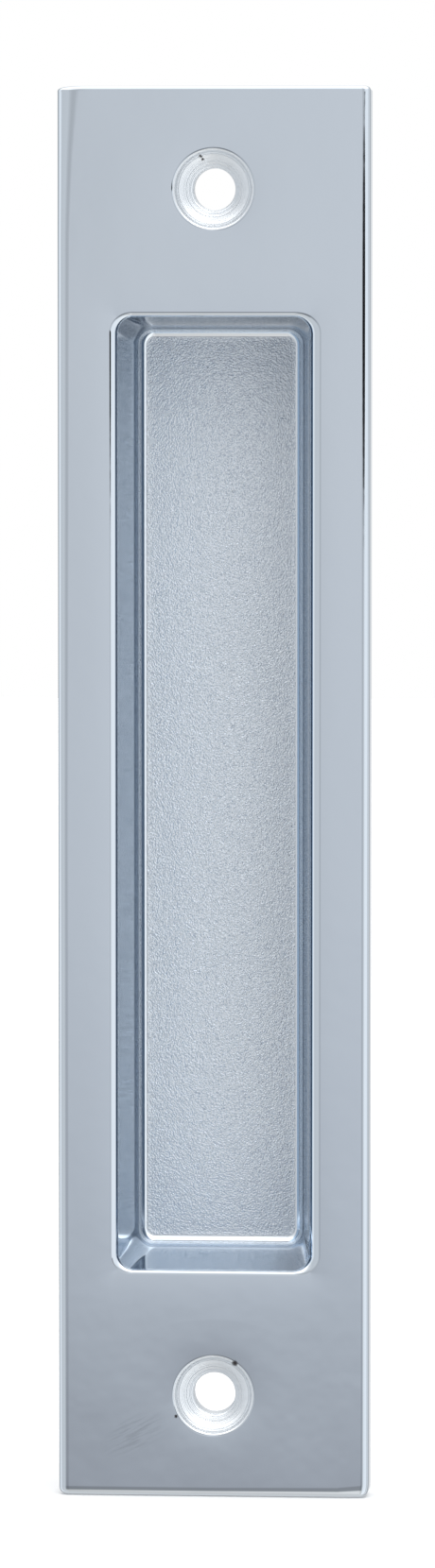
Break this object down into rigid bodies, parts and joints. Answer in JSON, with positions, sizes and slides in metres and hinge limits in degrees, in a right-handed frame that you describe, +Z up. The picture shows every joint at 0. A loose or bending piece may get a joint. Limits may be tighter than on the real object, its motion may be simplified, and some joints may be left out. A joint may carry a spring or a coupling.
{
  "type": "flush sash lift handle",
  "caption": "Tall flush sash lift: a rectangular chromed plate with a deep drafted finger recess and countersunk screw holes above and below it.",
  "frame": {"origin": "midway between the two screw holes, in the plane of the flange's back face, which lies on the sash", "axes": "+Z up along the plate's length, -Y out of the front face towards the user, +X to the right seen from the front"},
  "size_m": [0.0336, 0.0138, 0.152],
  "materials": {
    "chrome_plate": "bright chrome plate, buffed on the face and as cast in the recess"
  },
  "bodies": {
    "root": {"handle_casting": "chrome_plate"}
  },
  "joints": []
}
